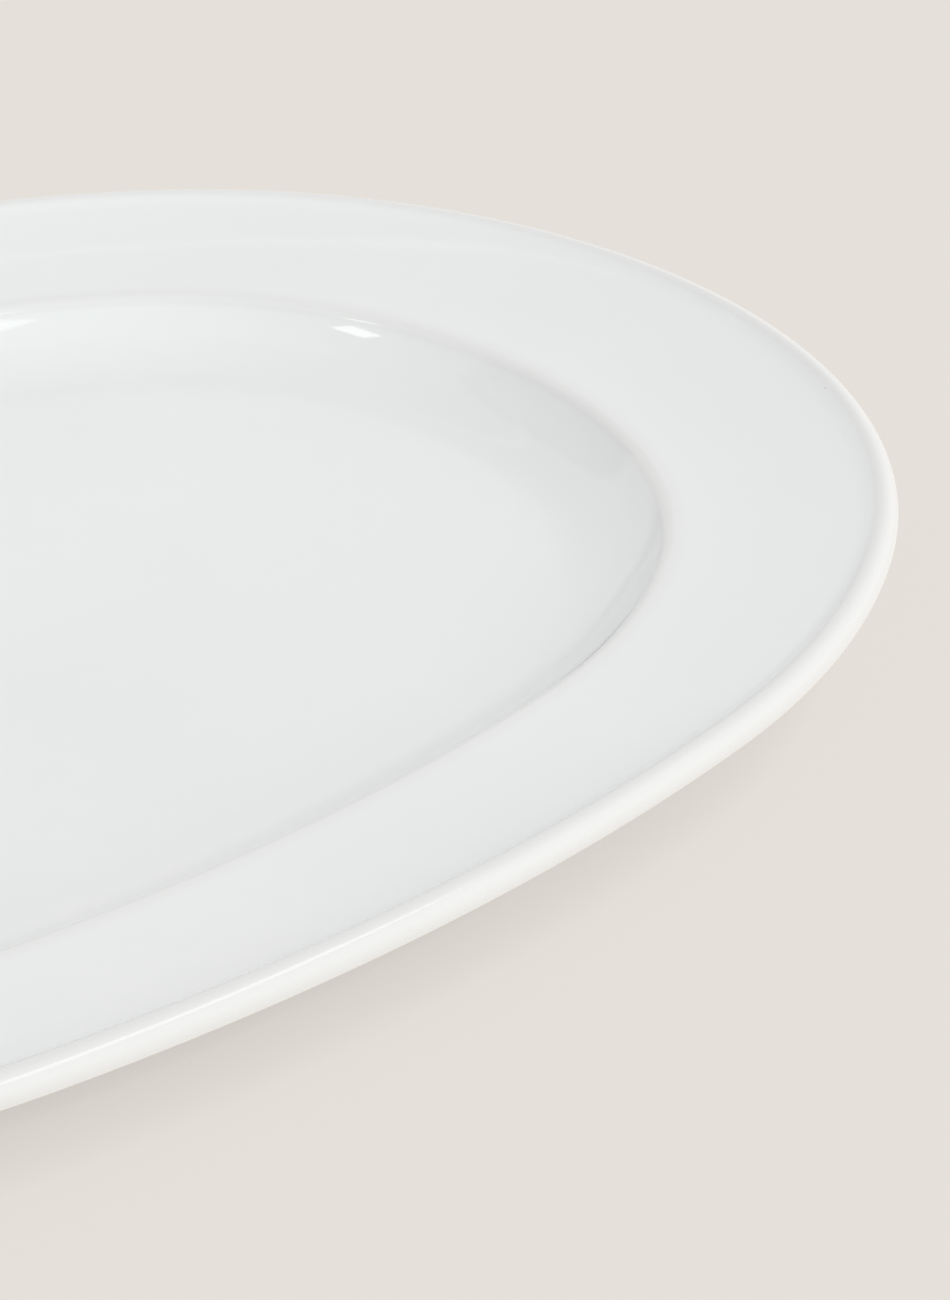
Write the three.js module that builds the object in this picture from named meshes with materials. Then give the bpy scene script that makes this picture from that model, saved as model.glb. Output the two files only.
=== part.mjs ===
// Oval serving platter in white glazed porcelain.
// Millimetres, +Z up, +X along the platter. The foot ring stands on z = 0.
//
// The plan is an eight-centre oval: a quarter of it is an end arc, a shoulder arc and
// half a side arc. Every curve of the platter is that outline moved inwards, so one
// cross-section, drawn as inset against height, sweeps round to make each piece.

import * as THREE from "three";

// ---- Plan ---------------------------------------------------------------

const halfLength = 180;
const halfWidth = 128.5;
const endRadius = 119;
const shoulderStart = 57; // directions, in degrees from +X, where the arcs meet
const sideStart = 81;
const endWidening = 7.8; // how much wider the rim is at the ends than at the sides

// Facets along each arc of a quarter oval.
const endSteps = 9;
const shoulderSteps = 4;
const sideSteps = 3;

// Facets along each arc of the cross-section.
const wellFacets = 5;
const vergeFacets = 3;
const rimFacets = 2;
const lipFilletFacets = 2;
const lipTopFacets = 2;
const lipSideFacets = 5;
const lipUndersideFacets = 4;
const undersideFacets = 2;
const footInnerFacets = 3;

// ---- Cross-section at the long side, over the glaze ---------------------

const wallThickness = 4.6;
const recessDepth = 2.7; // height of the underside above the table
const floorInset = 55.4; // where the flat floor of the well starts to curve up
const floorHeight = recessDepth + wallThickness;

const wellRadius = 23.4;
const wellSlope = 53; // steepest slope of the well wall, in degrees
const vergeRadius = 3.2; // soft shoulder between the well and the rim
const vergeBackRadius = 2; // hollow below that shoulder, on the underside
const rimStartSlope = 5;
const rimEndSlope = 17;
const lipFilletRadius = 9;
const lipRadius = 2.6; // half-round bead along the edge

const footFilletRadius = 2.5;
const footStartSlope = 24; // slope of the underside where the foot ring leaves it
const footSideSlope = 75;
const footBaseWidth = 3;
const footInnerFilletRadius = 2;

// ---- Glaze --------------------------------------------------------------

const glazeThickness = 0.3;
const glazeClearance = 0.03; // keeps the body and its coat from sharing a face
const glazeLineHeight = 1.1; // the coat is wiped off the foot below this height

// ---- Values that follow from those above --------------------------------

const radians = (degrees) => (degrees * Math.PI) / 180;

const sine = (degrees) => Math.sin(radians(degrees));
const cosine = (degrees) => Math.cos(radians(degrees));

const lastOf = (list) => list[list.length - 1];

// The shoulder and side radii are the two that close the quarter oval, with the side
// arc centred on the Y axis: two linear equations, solved by Cramer's rule.
const shoulderRun = cosine(shoulderStart) - cosine(sideStart);
const sideRun = cosine(sideStart);
const shoulderRise = sine(sideStart) - sine(shoulderStart);
const sideRise = 1 - sine(sideStart);
const runLeft = halfLength - endRadius * (1 - cosine(shoulderStart));
const riseLeft = halfWidth - endRadius * sine(shoulderStart);
const determinant = shoulderRun * sideRise - sideRun * shoulderRise;
const shoulderRadius = (runLeft * sideRise - riseLeft * sideRun) / determinant;
const sideRadius = (riseLeft * shoulderRun - runLeft * shoulderRise) / determinant;

const endCentreX = halfLength - endRadius;
const endToShoulder = endRadius - shoulderRadius;
const quarterArcs = [
  { to: shoulderStart, steps: endSteps, radius: endRadius, centre: [endCentreX, 0] },
  {
    to: sideStart,
    steps: shoulderSteps,
    radius: shoulderRadius,
    centre: [
      endCentreX + endToShoulder * cosine(shoulderStart),
      endToShoulder * sine(shoulderStart),
    ],
  },
  { to: 90, steps: sideSteps, radius: sideRadius, centre: [0, halfWidth - sideRadius] },
];

// The bead is thicker than the wall. Its underside is flush, and a fillet climbs to
// it on the face side. The rim is so nearly straight there that it counts as a line.
// Slopes are also headings of the walk below, where -90 is straight down.
const straightDown = -90;
const lipClimb = 2 * lipRadius - wallThickness;
const lipFilletTurn =
  Math.acos(1 - lipClimb / (lipFilletRadius + lipRadius)) / radians(1);
const lipSlope = rimEndSlope + lipFilletTurn;

// The rim's radius is the one that fills the width left between well and lip.
const widthOfTurn = (radius, fromSlope, toSlope) =>
  radius * Math.abs(sine(toSlope) - sine(fromSlope));
const rimWidth =
  floorInset -
  widthOfTurn(wellRadius, 0, wellSlope) -
  widthOfTurn(vergeRadius, wellSlope, rimStartSlope) -
  widthOfTurn(lipFilletRadius, rimEndSlope, lipSlope) -
  widthOfTurn(lipRadius, lipSlope, straightDown);
const rimRadius = rimWidth / widthOfTurn(1, rimStartSlope, rimEndSlope);

// ---- Drawing the cross-section ------------------------------------------

// A path drawn as a walk: inset shrinks towards the edge, and the heading is 0 when
// walking outwards and 90 when climbing. The material is always on the right, so
// `depth` moves the whole path into the material by making left turns wider and
// right turns tighter. `share` is the part of the ends' extra width that a point
// takes: 0 on the lip, 1 from the well inwards, and rising across the rim.
class Path {
  constructor(inset, height, depth) {
    this.depth = depth;
    this.heading = 0;
    this.share = 1;
    this.points = [];
    this.goTo(inset, height - depth);
  }

  goTo(inset, height) {
    this.inset = inset;
    this.height = height;
    this.points.push([inset, height, this.share]);
  }

  turn(radius, toHeading, steps, toShare = this.share) {
    const side = Math.sign(toHeading - this.heading);
    const walked = radius + side * this.depth;
    const start = radians(this.heading);
    const shareStep = (toShare - this.share) / steps;
    const centreInset = this.inset + side * walked * Math.sin(start);
    const centreHeight = this.height + side * walked * Math.cos(start);
    for (let step = 1; step <= steps; step++) {
      const angle = start + ((radians(toHeading) - start) * step) / steps;
      this.share += shareStep;
      this.goTo(
        centreInset - side * walked * Math.sin(angle),
        centreHeight - side * walked * Math.cos(angle),
      );
    }
    this.heading = toHeading;
  }

  straightToHeight(height) {
    const run = (height - this.height) / Math.tan(radians(this.heading));
    this.goTo(this.inset - run, height);
  }
}

// The heading along the underside, walked back inwards, where it has this slope.
const returning = (slope) => slope - 180;

// From the edge of the well floor, over the lip and down the outside of the foot,
// with a corner at each of the heights given.
function outsidePath(depth, footHeights) {
  const path = new Path(floorInset, floorHeight, depth);
  path.turn(wellRadius, wellSlope, wellFacets);
  path.turn(vergeRadius, rimStartSlope, vergeFacets);
  path.turn(rimRadius, rimEndSlope, rimFacets, 0);
  path.turn(lipFilletRadius, lipSlope, lipFilletFacets);
  path.turn(lipRadius, 0, lipTopFacets);
  path.turn(lipRadius, straightDown, lipSideFacets);
  path.turn(lipRadius, returning(rimEndSlope), lipUndersideFacets);
  path.turn(rimRadius + wallThickness, returning(rimStartSlope), undersideFacets, 1);
  path.turn(vergeBackRadius, returning(wellSlope), undersideFacets);
  path.turn(wellRadius + wallThickness, returning(footStartSlope), undersideFacets);
  path.turn(footFilletRadius, returning(footSideSlope), undersideFacets);
  footHeights.forEach((height) => path.straightToHeight(height));
  return path.points;
}

const [footOuterInset] = lastOf(outsidePath(0, [0]));
const footInnerInset = footOuterInset + footBaseWidth;

// From the inside of the foot up to the underside of the floor. It is drawn by
// walking down from the top of the fillet, with a corner at each height given.
function recessPath(depth, footHeights) {
  const footRise =
    recessDepth - footInnerFilletRadius * (1 - cosine(footSideSlope));
  const filletWidth = widthOfTurn(footInnerFilletRadius, 0, footSideSlope);
  const topInset =
    footInnerInset + footRise / Math.tan(radians(footSideSlope)) + filletWidth;
  const path = new Path(topInset, recessDepth, -depth);
  path.turn(footInnerFilletRadius, -footSideSlope, footInnerFacets);
  footHeights.forEach((height) => path.straightToHeight(height));
  return path.points.reverse();
}

// ---- Sweeping it round the oval -----------------------------------------

// The outline's facet corners over the first quarter, from +X to just before +Y.
function quarterStations() {
  const stations = [];
  let from = 0;
  for (const arc of quarterArcs) {
    for (let step = 0; step < arc.steps; step++) {
      const direction = from + ((arc.to - from) * step) / arc.steps;
      stations.push({ arc, x: cosine(direction), y: sine(direction) });
    }
    from = arc.to;
  }
  return stations;
}

// The same corners once round. Each quarter but the first and third is a mirror of
// the one before, walked backwards so that the corners stay in order.
function allStations() {
  const quarter = quarterStations();
  const top = { arc: lastOf(quarterArcs), x: 0, y: 1 };
  const mirrored = [...quarter.slice(1), top].reverse();
  const half = [
    ...quarter.map((s) => ({ ...s, mirror: 1 })),
    ...mirrored.map((s) => ({ ...s, mirror: -1 })),
  ];
  return [
    ...half.map((s) => ({ ...s, turn: 1 })),
    ...half.map((s) => ({ ...s, turn: -1 })),
  ];
}

const stations = allStations();

// Where a point of the cross-section lies at one station. The outline's normal there
// is (x, y), and its square in x spreads the ends' extra rim width smoothly.
function sweptPoint({ arc, x, y, mirror, turn }, [inset, height, share]) {
  const radius = arc.radius - inset - endWidening * share * x ** 2;
  const [centreX, centreY] = arc.centre;
  return [
    turn * mirror * (centreX + radius * x),
    turn * (centreY + radius * y),
    height,
  ];
}

// A closed piece: rings of the cross-section, shut by a flat fan at each end. Each
// quad is split along its shorter diagonal, so that two surfaces a small gap apart
// split alike and never cross.
function sweptPiece(profile) {
  const corners = profile.flatMap((point) =>
    stations.map((station) => new THREE.Vector3(...sweptPoint(station, point))),
  );
  const faces = [];
  const around = stations.length;
  const startHub = corners.length;
  const endHub = startHub + 1;
  corners.push(new THREE.Vector3(0, 0, profile[0][1]));
  corners.push(new THREE.Vector3(0, 0, lastOf(profile)[1]));

  for (let i = 0; i < around; i++) {
    const next = (i + 1) % around;
    faces.push(startHub, i, next);
    for (let ring = 0; ring + 1 < profile.length; ring++) {
      const here = ring * around;
      const beyond = here + around;
      const [a, b, c, d] = [here + i, beyond + i, beyond + next, here + next];
      const firstIsShorter =
        corners[a].distanceTo(corners[c]) < corners[b].distanceTo(corners[d]);
      faces.push(...(firstIsShorter ? [a, b, c, a, c, d] : [a, b, d, b, c, d]));
    }
    const lastRing = startHub - around;
    faces.push(endHub, lastRing + next, lastRing + i);
  }

  const geometry = new THREE.BufferGeometry();
  geometry.setFromPoints(corners);
  geometry.setIndex(faces);
  geometry.computeVertexNormals();
  return geometry;
}

// ---- Pieces -------------------------------------------------------------

const biscuit = new THREE.MeshStandardMaterial({
  color: 0xe9e4da,
  roughness: 0.85,
  metalness: 0,
});
const glaze = new THREE.MeshStandardMaterial({
  color: 0xf4f4f1,
  roughness: 0.12,
  metalness: 0,
});

// The fired clay: rim, well and foot ring pressed in one, with a bare ground foot.
function porcelainBody() {
  const depth = glazeThickness + glazeClearance;
  const footHeights = [glazeLineHeight, 0];
  const profile = [
    ...outsidePath(depth, footHeights),
    ...recessPath(depth, footHeights),
  ];
  return new THREE.Mesh(sweptPiece(profile), biscuit);
}

// The coat over the face, the lip and the underside as far as the glaze line.
function glazeCoat() {
  const outer = outsidePath(0, [glazeLineHeight]);
  const inner = outsidePath(glazeThickness, [glazeLineHeight]).reverse();
  return new THREE.Mesh(sweptPiece([...outer, ...inner]), glaze);
}

// The coat inside the foot ring, cut off from the rest by the bare foot.
function footRecessGlaze() {
  const inner = recessPath(glazeThickness, [glazeLineHeight]).reverse();
  const outer = recessPath(0, [glazeLineHeight]);
  return new THREE.Mesh(sweptPiece([...inner, ...outer]), glaze);
}

const pieces = {
  porcelain_body: porcelainBody(),
  glaze_coat: glazeCoat(),
  foot_recess_glaze: footRecessGlaze(),
};

const group = new THREE.Group();
for (const [name, piece] of Object.entries(pieces)) {
  piece.name = name;
  group.add(piece);
}

export default group;
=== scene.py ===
"""Looks for the oval serving platter: fine porcelain meshes, a pale floor, soft light."""

import math

import bpy
from mathutils import Matrix, Vector


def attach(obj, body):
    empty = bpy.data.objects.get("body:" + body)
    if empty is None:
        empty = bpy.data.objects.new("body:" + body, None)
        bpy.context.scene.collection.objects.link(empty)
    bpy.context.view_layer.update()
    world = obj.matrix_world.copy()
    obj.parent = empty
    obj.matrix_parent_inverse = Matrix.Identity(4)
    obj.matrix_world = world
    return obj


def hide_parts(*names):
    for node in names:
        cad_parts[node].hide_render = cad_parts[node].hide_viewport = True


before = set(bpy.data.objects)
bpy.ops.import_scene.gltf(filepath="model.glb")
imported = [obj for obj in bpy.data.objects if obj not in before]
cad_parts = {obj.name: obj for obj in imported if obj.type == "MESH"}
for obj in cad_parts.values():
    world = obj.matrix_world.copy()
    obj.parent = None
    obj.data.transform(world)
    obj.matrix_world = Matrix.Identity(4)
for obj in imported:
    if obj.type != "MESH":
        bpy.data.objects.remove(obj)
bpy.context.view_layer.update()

# ---- Sizes, in millimetres, the same as the CAD part's -------------------------

MM = 0.001

HALF_LENGTH = 180.0
HALF_WIDTH = 128.5
END_RADIUS = 119.0
SHOULDER_START = 57.0
SIDE_START = 81.0
END_WIDENING = 7.8

WALL_THICKNESS = 4.6
RECESS_DEPTH = 2.7
FLOOR_INSET = 55.4
FLOOR_HEIGHT = RECESS_DEPTH + WALL_THICKNESS
WELL_RADIUS = 23.4
WELL_SLOPE = 53.0
VERGE_RADIUS = 3.2
VERGE_BACK_RADIUS = 2.0
RIM_START_SLOPE = 5.0
RIM_END_SLOPE = 17.0
LIP_FILLET_RADIUS = 9.0
LIP_RADIUS = 2.6

FOOT_FILLET_RADIUS = 2.5
FOOT_START_SLOPE = 24.0
FOOT_SIDE_SLOPE = 75.0
FOOT_BASE_WIDTH = 3.0
FOOT_INNER_FILLET_RADIUS = 2.0
GLAZE_THICKNESS = 0.3
GLAZE_LINE_HEIGHT = 1.1

# Steps along each arc of a quarter oval.
END_STEPS = 70
SHOULDER_STEPS = 30
SIDE_STEPS = 20

# Steps along each stretch of the section, from the well floor round to the foot.
WELL_STEPS = 48
VERGE_STEPS = 28
RIM_STEPS = 12
LIP_FILLET_STEPS = 12
LIP_STEPS = 72
RIM_BACK_STEPS = 12
VERGE_BACK_STEPS = 8
WELL_BACK_STEPS = 8
FOOT_FILLET_STEPS = 8
FOOT_SIDE_STEPS = 4
FOOT_INNER_FILLET_STEPS = 8
FOOT_INNER_SIDE_STEPS = 2
DISC_RINGS = 8  # rings of faces on the flat floor of the well and of the recess

EDGE_SPREAD = 0.9  # how far the thin glaze reaches on either side of an edge


def sine(degrees):
    return math.sin(math.radians(degrees))


def cosine(degrees):
    return math.cos(math.radians(degrees))


def width_of_turn(radius, from_slope, to_slope):
    """How far an arc of the section reaches across, between two slopes."""
    return radius * abs(sine(to_slope) - sine(from_slope))


LIP_CLIMB = 2 * LIP_RADIUS - WALL_THICKNESS
LIP_FILLET_TURN = math.degrees(math.acos(1 - LIP_CLIMB / (LIP_FILLET_RADIUS + LIP_RADIUS)))
LIP_SLOPE = RIM_END_SLOPE + LIP_FILLET_TURN
RIM_WIDTH = (
    FLOOR_INSET
    - width_of_turn(WELL_RADIUS, 0, WELL_SLOPE)
    - width_of_turn(VERGE_RADIUS, WELL_SLOPE, RIM_START_SLOPE)
    - width_of_turn(LIP_FILLET_RADIUS, RIM_END_SLOPE, LIP_SLOPE)
    - width_of_turn(LIP_RADIUS, LIP_SLOPE, -90)
)
RIM_RADIUS = RIM_WIDTH / width_of_turn(1, RIM_START_SLOPE, RIM_END_SLOPE)


# ---- The cross-section ---------------------------------------------------------


def returning(slope):
    """The heading of a walk back inwards along a surface of this slope."""
    return slope - 180


class Path:
    """A walk along the section, `depth` to the right of its surface.

    A heading is in degrees above level, outwards. Each point is its inset from the
    outline, its height, and its share of the widening at the ends.
    """

    def __init__(self, inset, height, depth):
        self.depth = depth
        self.heading = 0.0
        self.share = 1.0
        self.points = []
        self.go_to(inset, height - depth)

    def go_to(self, inset, height):
        self.inset = inset
        self.height = height
        self.points.append((inset, height, self.share))

    def turn(self, radius, to_heading, steps, to_share=None):
        side = math.copysign(1, to_heading - self.heading)
        walked = radius + side * self.depth
        centre_inset = self.inset + side * walked * sine(self.heading)
        centre_height = self.height + side * walked * cosine(self.heading)
        from_heading = self.heading
        from_share = self.share
        to_share = from_share if to_share is None else to_share
        for step in range(1, steps + 1):
            done = step / steps
            heading = from_heading + (to_heading - from_heading) * done
            self.share = from_share + (to_share - from_share) * done
            self.go_to(
                centre_inset - side * walked * sine(heading),
                centre_height - side * walked * cosine(heading),
            )
        self.heading = to_heading

    def straight_to_height(self, height, steps):
        run = (height - self.height) / math.tan(math.radians(self.heading))
        inset, start = self.inset, self.height
        for step in range(1, steps + 1):
            done = step / steps
            self.go_to(inset - run * done, start + (height - start) * done)


def outside_path(depth, foot_height):
    """From the well floor over the rim and lip, and back under them to the foot."""
    path = Path(FLOOR_INSET, FLOOR_HEIGHT, depth)
    path.turn(WELL_RADIUS, WELL_SLOPE, WELL_STEPS)
    path.turn(VERGE_RADIUS, RIM_START_SLOPE, VERGE_STEPS)
    path.turn(RIM_RADIUS, RIM_END_SLOPE, RIM_STEPS, 0)
    path.turn(LIP_FILLET_RADIUS, LIP_SLOPE, LIP_FILLET_STEPS)
    path.turn(LIP_RADIUS, returning(RIM_END_SLOPE), LIP_STEPS)
    path.turn(RIM_RADIUS + WALL_THICKNESS, returning(RIM_START_SLOPE), RIM_BACK_STEPS, 1)
    path.turn(VERGE_BACK_RADIUS, returning(WELL_SLOPE), VERGE_BACK_STEPS)
    path.turn(WELL_RADIUS + WALL_THICKNESS, returning(FOOT_START_SLOPE), WELL_BACK_STEPS)
    path.turn(FOOT_FILLET_RADIUS, returning(FOOT_SIDE_SLOPE), FOOT_FILLET_STEPS)
    path.straight_to_height(foot_height, FOOT_SIDE_STEPS)
    return path.points


FOOT_OUTER_INSET = outside_path(0, 0)[-1][0]
FOOT_INNER_INSET = FOOT_OUTER_INSET + FOOT_BASE_WIDTH


def recess_path(depth, foot_height):
    """From the inner side of the foot in to the recess that it stands round.

    It is walked outwards, with the clay on the left, and then turned round.
    """
    foot_rise = RECESS_DEPTH - FOOT_INNER_FILLET_RADIUS * (1 - cosine(FOOT_SIDE_SLOPE))
    fillet_width = width_of_turn(FOOT_INNER_FILLET_RADIUS, 0, FOOT_SIDE_SLOPE)
    top_inset = (
        FOOT_INNER_INSET + foot_rise / math.tan(math.radians(FOOT_SIDE_SLOPE)) + fillet_width
    )
    path = Path(top_inset, RECESS_DEPTH, -depth)
    path.turn(FOOT_INNER_FILLET_RADIUS, -FOOT_SIDE_SLOPE, FOOT_INNER_FILLET_STEPS)
    path.straight_to_height(foot_height, FOOT_INNER_SIDE_STEPS)
    return path.points[::-1]


# ---- The plan ------------------------------------------------------------------


def quarter_arcs():
    """(end direction, steps, radius, centre) of each arc of a quarter of the oval.

    The arcs meet without a corner. That, with the length and the width, gives two
    equations for the radii of the shoulder and the side.
    """
    shoulder_run = cosine(SHOULDER_START) - cosine(SIDE_START)
    side_run = cosine(SIDE_START)
    shoulder_rise = sine(SIDE_START) - sine(SHOULDER_START)
    side_rise = 1 - sine(SIDE_START)
    run_left = HALF_LENGTH - END_RADIUS * (1 - cosine(SHOULDER_START))
    rise_left = HALF_WIDTH - END_RADIUS * sine(SHOULDER_START)
    determinant = shoulder_run * side_rise - side_run * shoulder_rise
    shoulder_radius = (run_left * side_rise - rise_left * side_run) / determinant
    side_radius = (rise_left * shoulder_run - run_left * shoulder_rise) / determinant
    end_x = HALF_LENGTH - END_RADIUS
    step_back = END_RADIUS - shoulder_radius
    shoulder_centre = (
        end_x + step_back * cosine(SHOULDER_START),
        step_back * sine(SHOULDER_START),
    )
    return [
        (SHOULDER_START, END_STEPS, END_RADIUS, (end_x, 0)),
        (SIDE_START, SHOULDER_STEPS, shoulder_radius, shoulder_centre),
        (90.0, SIDE_STEPS, side_radius, (0, HALF_WIDTH - side_radius)),
    ]


def all_stations():
    """((radius, centre, normal), mirror sign, turn sign) at each corner, once round."""
    quarter = []
    start = 0.0
    for end, steps, radius, centre in quarter_arcs():
        for step in range(steps):
            direction = start + (end - start) * step / steps
            quarter.append((radius, centre, (cosine(direction), sine(direction))))
        start = end
    top = (radius, centre, (0.0, 1.0))
    mirrored = (quarter[1:] + [top])[::-1]
    half = [(s, 1) for s in quarter] + [(s, -1) for s in mirrored]
    return [(s, m, t) for t in (1, -1) for s, m in half]


STATIONS = all_stations()


def swept_point(station, point):
    """Where a point of the section comes to lie at one station, in metres."""
    (arc_radius, centre, normal), mirror, turn = station
    inset, height, share = point
    radius = arc_radius - inset - END_WIDENING * share * normal[0] ** 2
    x = turn * mirror * (centre[0] + radius * normal[0])
    y = turn * (centre[1] + radius * normal[1])
    return (x * MM, y * MM, height * MM)


def edge_strengths(profile):
    """How sharp an outward edge each profile corner is on: 0 flat, 1 as the lip is."""

    def step(i):
        (x0, z0, _), (x1, z1, _) = profile[i], profile[i + 1]
        return math.hypot(x1 - x0, z1 - z0), math.atan2(z1 - z0, x0 - x1)

    steps = [step(i) for i in range(len(profile) - 1)]
    along = [0.0]
    for length, _ in steps:
        along.append(along[-1] + length)
    curvatures = [0.0]
    for (length, heading), (next_length, next_heading) in zip(steps, steps[1:]):
        turned = math.remainder(heading - next_heading, math.tau)
        curvatures.append(2 * turned / (length + next_length))
    curvatures.append(0.0)
    sharp = [min(max(k * LIP_RADIUS, 0.0), 1.0) for k in curvatures]
    strengths = []
    for here in along:
        nearness = [max(0.0, 1 - abs(there - here) / EDGE_SPREAD) for there in along]
        strengths.append(sum(n * s for n, s in zip(nearness, sharp)) / sum(nearness))
    return strengths


def swept_mesh(name, profile):
    """A closed smooth mesh: rings of the profile with a flat disc at each end."""
    around = len(STATIONS)
    rings = [[swept_point(s, p) for s in STATIONS] for p in profile]
    disc_edges = [0.0] * (DISC_RINGS - 1)
    edges = disc_edges + edge_strengths(profile) + disc_edges

    def disc(ring):
        return [
            [(x * k / DISC_RINGS, y * k / DISC_RINGS, z) for x, y, z in ring]
            for k in range(1, DISC_RINGS)
        ]

    rings = disc(rings[0]) + rings + disc(rings[-1])[::-1]
    corners = [corner for ring in rings for corner in ring]
    first_hub = len(corners)
    corners.append((0, 0, rings[0][0][2]))
    last_hub = len(corners)
    corners.append((0, 0, rings[-1][0][2]))
    faces = []
    for i in range(around):
        after = (i + 1) % around
        faces.append((first_hub, i, after))
        for ring in range(len(rings) - 1):
            here = ring * around
            beyond = here + around
            faces.append((here + i, beyond + i, beyond + after, here + after))
        last = (len(rings) - 1) * around
        faces.append((last_hub, last + after, last + i))
    mesh = bpy.data.meshes.new(name)
    mesh.from_pydata(corners, [], faces)
    mesh.polygons.foreach_set("use_smooth", [True] * len(mesh.polygons))
    edge_of_corner = [edge for edge in edges for _ in range(around)] + [0.0, 0.0]
    mesh.attributes.new("edge", "FLOAT", "POINT").data.foreach_set("value", edge_of_corner)
    mesh.update()
    piece = bpy.data.objects.new(name, mesh)
    bpy.context.scene.collection.objects.link(piece)
    return piece


# ---- Materials -----------------------------------------------------------------

GLAZE_WHITE = (0.808, 0.816, 0.825)
GLAZE_WHITE_DEEP = (0.794, 0.806, 0.816)
GLAZE_OVER_EDGE = (0.756, 0.753, 0.755)
GLAZE_SPECK = (0.60, 0.57, 0.53)
GLAZE_IOR = 1.5
GLAZE_ROUGHNESS = 0.045
GLAZE_ROUGHNESS_SPREAD = 0.025
GLAZE_EDGE_SHARE = 0.85  # of the edge colour, on an edge as sharp as the lip

# Features to the metre; a pair also has the depth of its bump, in metres.
GLAZE_CLOUDS = 16.0
GLAZE_MOTTLE = 190.0
GLAZE_WAVES = (22.0, 0.00010)
GLAZE_RIPPLES = (330.0, 0.000005)
GLAZE_SPECK_CELLS = 75.0
GLAZE_SPECK_SIZE = 0.022  # in cells
GLAZE_SPECK_CHOSEN = 0.34  # the random value of a cell, under which it has a speck
SPECK_CORE = 0.6  # the share of a speck's size that is in full colour
SPECK_SURE = 0.9  # the share of `chosen` under which a speck isn't faded

RECESS_WHITE = (0.785, 0.790, 0.775)
RECESS_WHITE_DEEP = (0.750, 0.762, 0.752)
BISCUIT_PALE = (0.800, 0.772, 0.722)
BISCUIT_DARK = (0.690, 0.655, 0.600)
BISCUIT_SCUFF = (0.430, 0.415, 0.395)
BISCUIT_IOR = 1.45
BISCUIT_GRIT = (1400.0, 0.00008)
BISCUIT_STAINS = (45.0, 0.00005)
BISCUIT_SCUFFS = 260.0

FACE_UNEVENNESS = 1.0
RECESS_UNEVENNESS = 1.8


class Material:
    """A node material on one Principled shader, with helpers that return sockets."""

    def __init__(self, name):
        self.material = bpy.data.materials.new(name)
        self.material.use_nodes = True
        self.nodes = self.material.node_tree.nodes
        self.links = self.material.node_tree.links
        self.nodes.clear()
        output = self.nodes.new("ShaderNodeOutputMaterial")
        self.shader = self.nodes.new("ShaderNodeBsdfPrincipled")
        self.links.new(self.shader.outputs["BSDF"], output.inputs["Surface"])
        self.coords = self.nodes.new("ShaderNodeTexCoord").outputs["Object"]

    def noise(self, scale, detail=2.0):
        """From 0 to 1, with about `scale` features to the metre."""
        node = self.nodes.new("ShaderNodeTexNoise")
        node.inputs["Scale"].default_value = scale
        node.inputs["Detail"].default_value = detail
        self.links.new(self.coords, node.inputs["Vector"])
        return node.outputs["Fac"]

    def specks(self, scale, size, chosen):
        """1 inside small dots; a cell has one if its random value is under `chosen`."""
        cells = self.nodes.new("ShaderNodeTexVoronoi")
        cells.inputs["Scale"].default_value = scale
        self.links.new(self.coords, cells.inputs["Vector"])
        dot = self.mapped(cells.outputs["Distance"], size * SPECK_CORE, size, 1.0, 0.0)
        pick = self.mapped(cells.outputs["Color"], chosen * SPECK_SURE, chosen, 1.0, 0.0)
        both = self.nodes.new("ShaderNodeMath")
        both.operation = "MULTIPLY"
        self.links.new(dot, both.inputs[0])
        self.links.new(pick, both.inputs[1])
        return both.outputs["Value"]

    def mapped(self, value, from_low, from_high, to_low, to_high):
        """A value taken from one range to another, and held at the ends of it."""
        node = self.nodes.new("ShaderNodeMapRange")
        node.inputs["From Min"].default_value = from_low
        node.inputs["From Max"].default_value = from_high
        node.inputs["To Min"].default_value = to_low
        node.inputs["To Max"].default_value = to_high
        self.links.new(value, node.inputs["Value"])
        return node.outputs["Result"]

    def mixed(self, share, first, second):
        """Between two colours, each three numbers or another node's colour."""
        node = self.nodes.new("ShaderNodeMix")
        node.data_type = "RGBA"
        self.links.new(share, node.inputs["Factor"])
        for socket, colour in zip([s for s in node.inputs if s.type == "RGBA"], (first, second)):
            if isinstance(colour, tuple):
                socket.default_value = (*colour, 1)
            else:
                self.links.new(colour, socket)
        return next(s for s in node.outputs if s.type == "RGBA")

    def stored(self, name):
        """The value that the mesh stores under this name."""
        node = self.nodes.new("ShaderNodeAttribute")
        node.attribute_name = name
        return node.outputs["Fac"]

    def bumps(self, *heights):
        """Chains bumps, each a height from 0 to 1 and its full depth in metres."""
        normal = None
        for height, depth in heights:
            node = self.nodes.new("ShaderNodeBump")
            node.inputs["Distance"].default_value = depth
            self.links.new(height, node.inputs["Height"])
            if normal is not None:
                self.links.new(normal, node.inputs["Normal"])
            normal = node.outputs["Normal"]
        self.links.new(normal, self.shader.inputs["Normal"])

    def set(self, socket, value):
        """Gives a shader socket a number, or links it to another node."""
        if isinstance(value, (int, float)):
            self.shader.inputs[socket].default_value = value
        else:
            self.links.new(value, self.shader.inputs[socket])


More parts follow.
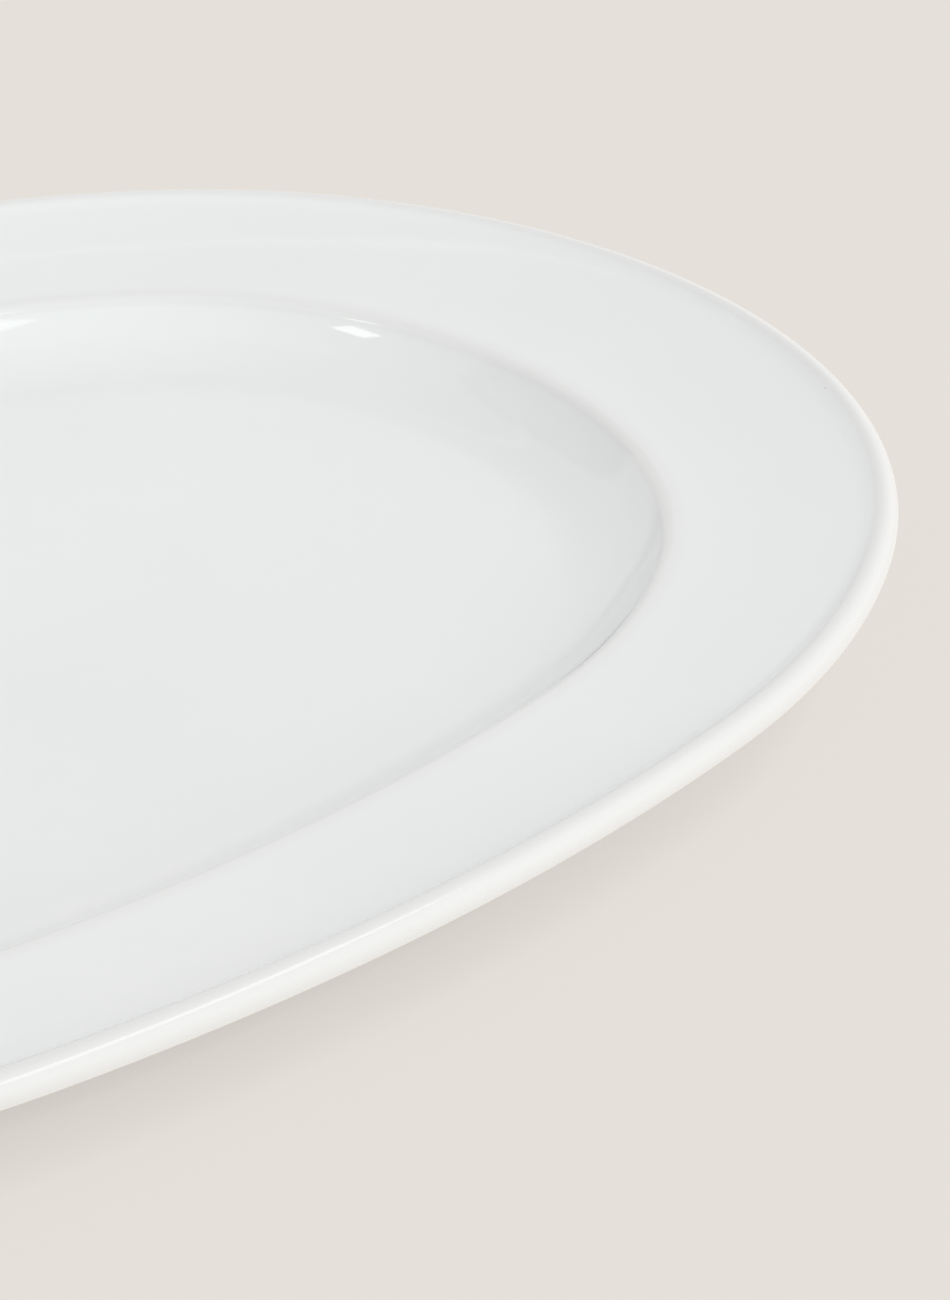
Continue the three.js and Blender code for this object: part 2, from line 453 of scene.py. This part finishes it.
def glaze_material(name, white, deep_white, unevenness):
    """Gloss glaze: cloudy, with pin specks, and duller and warmer over an edge."""
    glaze = Material(name)
    cloud = glaze.noise(GLAZE_CLOUDS, 3.0)
    mottle = glaze.noise(GLAZE_MOTTLE)
    deep = glaze.mapped(cloud, 0.35, 0.65, 0.0, 1.0)
    colour = glaze.mixed(deep, white, deep_white)
    colour = glaze.mixed(glaze.mapped(mottle, 0.40, 0.75, 0.0, 0.5), colour, deep_white)
    thin = glaze.mapped(glaze.stored("edge"), 0.0, 1.0, 0.0, GLAZE_EDGE_SHARE)
    colour = glaze.mixed(thin, colour, GLAZE_OVER_EDGE)
    speck_size = GLAZE_SPECK_SIZE * unevenness
    specks = glaze.specks(GLAZE_SPECK_CELLS, speck_size, GLAZE_SPECK_CHOSEN)
    colour = glaze.mixed(specks, colour, GLAZE_SPECK)
    glaze.set("Base Color", colour)
    roughest = GLAZE_ROUGHNESS + GLAZE_ROUGHNESS_SPREAD * unevenness
    glaze.set("Roughness", glaze.mapped(cloud, 0.3, 0.7, GLAZE_ROUGHNESS, roughest))
    glaze.set("IOR", GLAZE_IOR)
    glaze.bumps(
        *((glaze.noise(scale), depth * unevenness) for scale, depth in (GLAZE_WAVES, GLAZE_RIPPLES))
    )
    return glaze.material


def biscuit_material():
    """Bare fired clay, ground flat: matt and gritty, with grey marks from use."""
    clay = Material("bare_biscuit")
    grit_scale, grit_depth = BISCUIT_GRIT
    stain_scale, stain_depth = BISCUIT_STAINS
    grit = clay.noise(grit_scale, 4.0)
    stain = clay.noise(stain_scale, 3.0)
    scuff = clay.mapped(clay.noise(BISCUIT_SCUFFS, 4.0), 0.60, 0.72, 0.0, 0.7)
    colour = clay.mixed(clay.mapped(stain, 0.35, 0.70, 0.0, 0.6), BISCUIT_PALE, BISCUIT_DARK)
    colour = clay.mixed(clay.mapped(grit, 0.45, 0.75, 0.0, 0.5), colour, BISCUIT_DARK)
    colour = clay.mixed(scuff, colour, BISCUIT_SCUFF)
    clay.set("Base Color", colour)
    clay.set("Roughness", clay.mapped(grit, 0.3, 0.7, 0.80, 0.95))
    clay.set("IOR", BISCUIT_IOR)
    clay.bumps((grit, grit_depth), (stain, stain_depth))
    return clay.material


# Most of the table's brightness is its own glow, so the shadow on it stays light.
FLOOR_SIZE = 8.0
FLOOR_GRAIN = 420.0
FLOOR_COLOUR = (0.120, 0.102, 0.106)
FLOOR_COLOUR_DEEP = (0.114, 0.097, 0.101)
FLOOR_GLOW = (0.666, 0.645, 0.597)
# Painted shadow: the floor loses glow close under the platter through an occlusion node, not
# through the lights.
FLOOR_PAINTED_SHADOW_REACH = 0.0178  # how near the platter has to be to take glow away
FLOOR_PAINTED_SHADOW_SHARE = 0.49  # the share of the glow that it can take away
FLOOR_GLOW_ON_OBJECTS = 1.3  # the glow that lights the platter, against the one that shows


def floor_material():
    """A pale glowing table, with a painted shadow: less glow close under the platter.

    The glow that lights the platter is stronger than the glow that shows.
    """
    table = Material("pale_floor")
    grain = table.noise(FLOOR_GRAIN, 3.0)
    table.set("Base Color", table.mixed(grain, FLOOR_COLOUR_DEEP, FLOOR_COLOUR))
    table.set("Roughness", 1.0)
    table.set("Specular IOR Level", 0.0)
    table.shader.inputs["Emission Color"].default_value = (*FLOOR_GLOW, 1)
    # Painted shadow: the occlusion takes glow away where the platter is near.
    open_share = table.nodes.new("ShaderNodeAmbientOcclusion")
    open_share.inputs["Distance"].default_value = FLOOR_PAINTED_SHADOW_REACH
    painted_shadow = table.mapped(open_share.outputs["AO"], 0.0, 1.0, 1 - FLOOR_PAINTED_SHADOW_SHARE, 1.0)
    seen = table.nodes.new("ShaderNodeLightPath").outputs["Is Camera Ray"]
    strength = table.nodes.new("ShaderNodeMath")
    strength.operation = "MULTIPLY"
    table.links.new(painted_shadow, strength.inputs[0])
    table.links.new(
        table.mapped(seen, 0.0, 1.0, FLOOR_GLOW_ON_OBJECTS, 1.0), strength.inputs[1]
    )
    table.set("Emission Strength", strength.outputs["Value"])
    return table.material


# ---- Pieces --------------------------------------------------------------------

face_glaze = glaze_material(
    "porcelain_glaze", GLAZE_WHITE, GLAZE_WHITE_DEEP, FACE_UNEVENNESS
)
pool_glaze = glaze_material(
    "recess_pool_glaze", RECESS_WHITE, RECESS_WHITE_DEEP, RECESS_UNEVENNESS
)
biscuit = biscuit_material()


def add_piece(name, node, profile, material):
    piece = swept_mesh(name, profile)
    piece.data.materials.append(material)
    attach(piece, "root")
    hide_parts(node)


body_profile = outside_path(GLAZE_THICKNESS, 0) + recess_path(GLAZE_THICKNESS, 0)
add_piece("body_clay", "porcelain_body", body_profile, biscuit)

coat_outside = outside_path(0, GLAZE_LINE_HEIGHT)
coat_inside = outside_path(GLAZE_THICKNESS, GLAZE_LINE_HEIGHT)
coat_profile = coat_outside + coat_inside[::-1]
add_piece("coat_glaze", "glaze_coat", coat_profile, face_glaze)

pool_inside = recess_path(GLAZE_THICKNESS, GLAZE_LINE_HEIGHT)
pool_outside = recess_path(0, GLAZE_LINE_HEIGHT)
recess_profile = pool_inside[::-1] + pool_outside
add_piece("recess_glaze_pool", "foot_recess_glaze", recess_profile, pool_glaze)

# ---- Floor, light and camera ---------------------------------------------------

bpy.ops.mesh.primitive_plane_add(size=FLOOR_SIZE, location=(0, 0, 0))
floor = bpy.context.object
floor.name = "floor"
floor.data.materials.append(floor_material())


def direction(azimuth, elevation):
    """A unit vector; azimuth is counted from +X towards +Y, in degrees."""
    return Vector(
        (
            cosine(azimuth) * cosine(elevation),
            sine(azimuth) * cosine(elevation),
            sine(elevation),
        )
    )


# Each lobe brightens or darkens the room round one direction: azimuth, elevation,
# the cosines where it starts and where it is full, and its colour at full.
ROOM_COLOUR = (0.906, 0.914, 0.904)
ROOM_LOBES = [
    ("overhead", -110, 52, 0.0, 1.0, (0.17, 0.17, 0.16)),
    ("front_low", -100, 5, 0.3, 1.0, (0.19, 0.24, 0.24)),
    ("right_low", -10, 15, 0.5, 1.0, (0.27, 0.22, 0.21)),
    ("back_low", 100, 2, 0.6, 1.0, (0.12, 0.11, 0.11)),
    ("back_high", 55, 62, 0.75, 0.97, (-0.37, -0.37, -0.36)),
    ("back_foot", 51, 0, 0.965, 1.0, (-0.18, -0.18, -0.18)),
    ("left_low", 160, 20, 0.5, 1.0, (-0.10, -0.13, -0.14)),
    ("doorway", 113, 30, 0.925, 0.940, (-0.42, -0.42, -0.41)),
    ("cornice_top", 51, 90, 0.694, 0.698, (0.30, 0.30, 0.30)),
    ("cornice_foot", 51, 90, 0.712, 0.716, (-0.33, -0.33, -0.33)),
]


def build_room():
    """The light from all round: the room's colour plus every lobe."""
    world = bpy.data.worlds.new("studio")
    bpy.context.scene.world = world
    world.use_nodes = True
    nodes, links = world.node_tree.nodes, world.node_tree.links
    coords = nodes.new("ShaderNodeTexCoord")
    total = nodes.new("ShaderNodeCombineXYZ")
    for channel, value in zip("XYZ", ROOM_COLOUR):
        total.inputs[channel].default_value = value
    total = total.outputs["Vector"]
    for name, azimuth, elevation, start, full, colour in ROOM_LOBES:
        towards = nodes.new("ShaderNodeVectorMath")
        towards.operation = "DOT_PRODUCT"
        towards.inputs[1].default_value = direction(azimuth, elevation)
        links.new(coords.outputs["Generated"], towards.inputs[0])
        fade = nodes.new("ShaderNodeMapRange")
        fade.interpolation_type = "SMOOTHSTEP"
        fade.inputs["From Min"].default_value = start
        fade.inputs["From Max"].default_value = full
        links.new(towards.outputs["Value"], fade.inputs["Value"])
        lobe = nodes.new("ShaderNodeVectorMath")
        lobe.name = name
        lobe.operation = "MULTIPLY_ADD"
        lobe.inputs[1].default_value = colour
        links.new(fade.outputs["Result"], lobe.inputs[0])
        links.new(total, lobe.inputs[2])
        total = lobe.outputs["Vector"]
    links.new(total, nodes["Background"].inputs["Color"])
    nodes["Background"].inputs["Strength"].default_value = 1.0


build_room()


def area_light(name, azimuth, elevation, distance, width, height, radiance):
    """A softbox that faces the platter; `radiance` is how bright it looks."""
    data = bpy.data.lights.new(name, "AREA")
    data.shape = "RECTANGLE"
    data.size = width
    data.size_y = height
    data.energy = radiance * math.pi * width * height
    light = bpy.data.objects.new(name, data)
    away = direction(azimuth, elevation)
    light.location = away * distance
    light.rotation_euler = (-away).to_track_quat("-Z", "Y").to_euler()
    bpy.context.scene.collection.objects.link(light)


LIGHT_DISTANCE = 1.2
area_light("key", -50, 60, LIGHT_DISTANCE, 0.75, 0.22, 2.3)
area_light("window", 161, 55, LIGHT_DISTANCE, 0.16, 0.13, 4.5)

# The camera stands front left of the platter and is tipped a little on its axis.
CAMERA_AZIMUTH = -44.56
CAMERA_ELEVATION = 29.91
CAMERA_ROLL = 2.165
CAMERA_DISTANCE = 0.5159
CAMERA_TARGET = Vector((0.0512, -0.0776, 0.0223))
LENS_MM = 91.27
SENSOR_MM = 36.0


def build_camera():
    data = bpy.data.cameras.new("camera")
    data.lens = LENS_MM
    data.sensor_width = SENSOR_MM
    camera = bpy.data.objects.new("camera", data)
    bpy.context.scene.collection.objects.link(camera)
    back = direction(CAMERA_AZIMUTH - 90, CAMERA_ELEVATION)
    level = Vector((cosine(CAMERA_AZIMUTH), sine(CAMERA_AZIMUTH), 0))
    upright = back.cross(level)
    across = level * cosine(CAMERA_ROLL) + upright * sine(CAMERA_ROLL)
    above = back.cross(across)
    turned = Matrix((across, above, back)).transposed().to_4x4()
    camera.matrix_world = Matrix.Translation(CAMERA_TARGET + back * CAMERA_DISTANCE) @ turned
    bpy.context.scene.camera = camera


build_camera()
bpy.context.scene.view_settings.view_transform = "Standard"
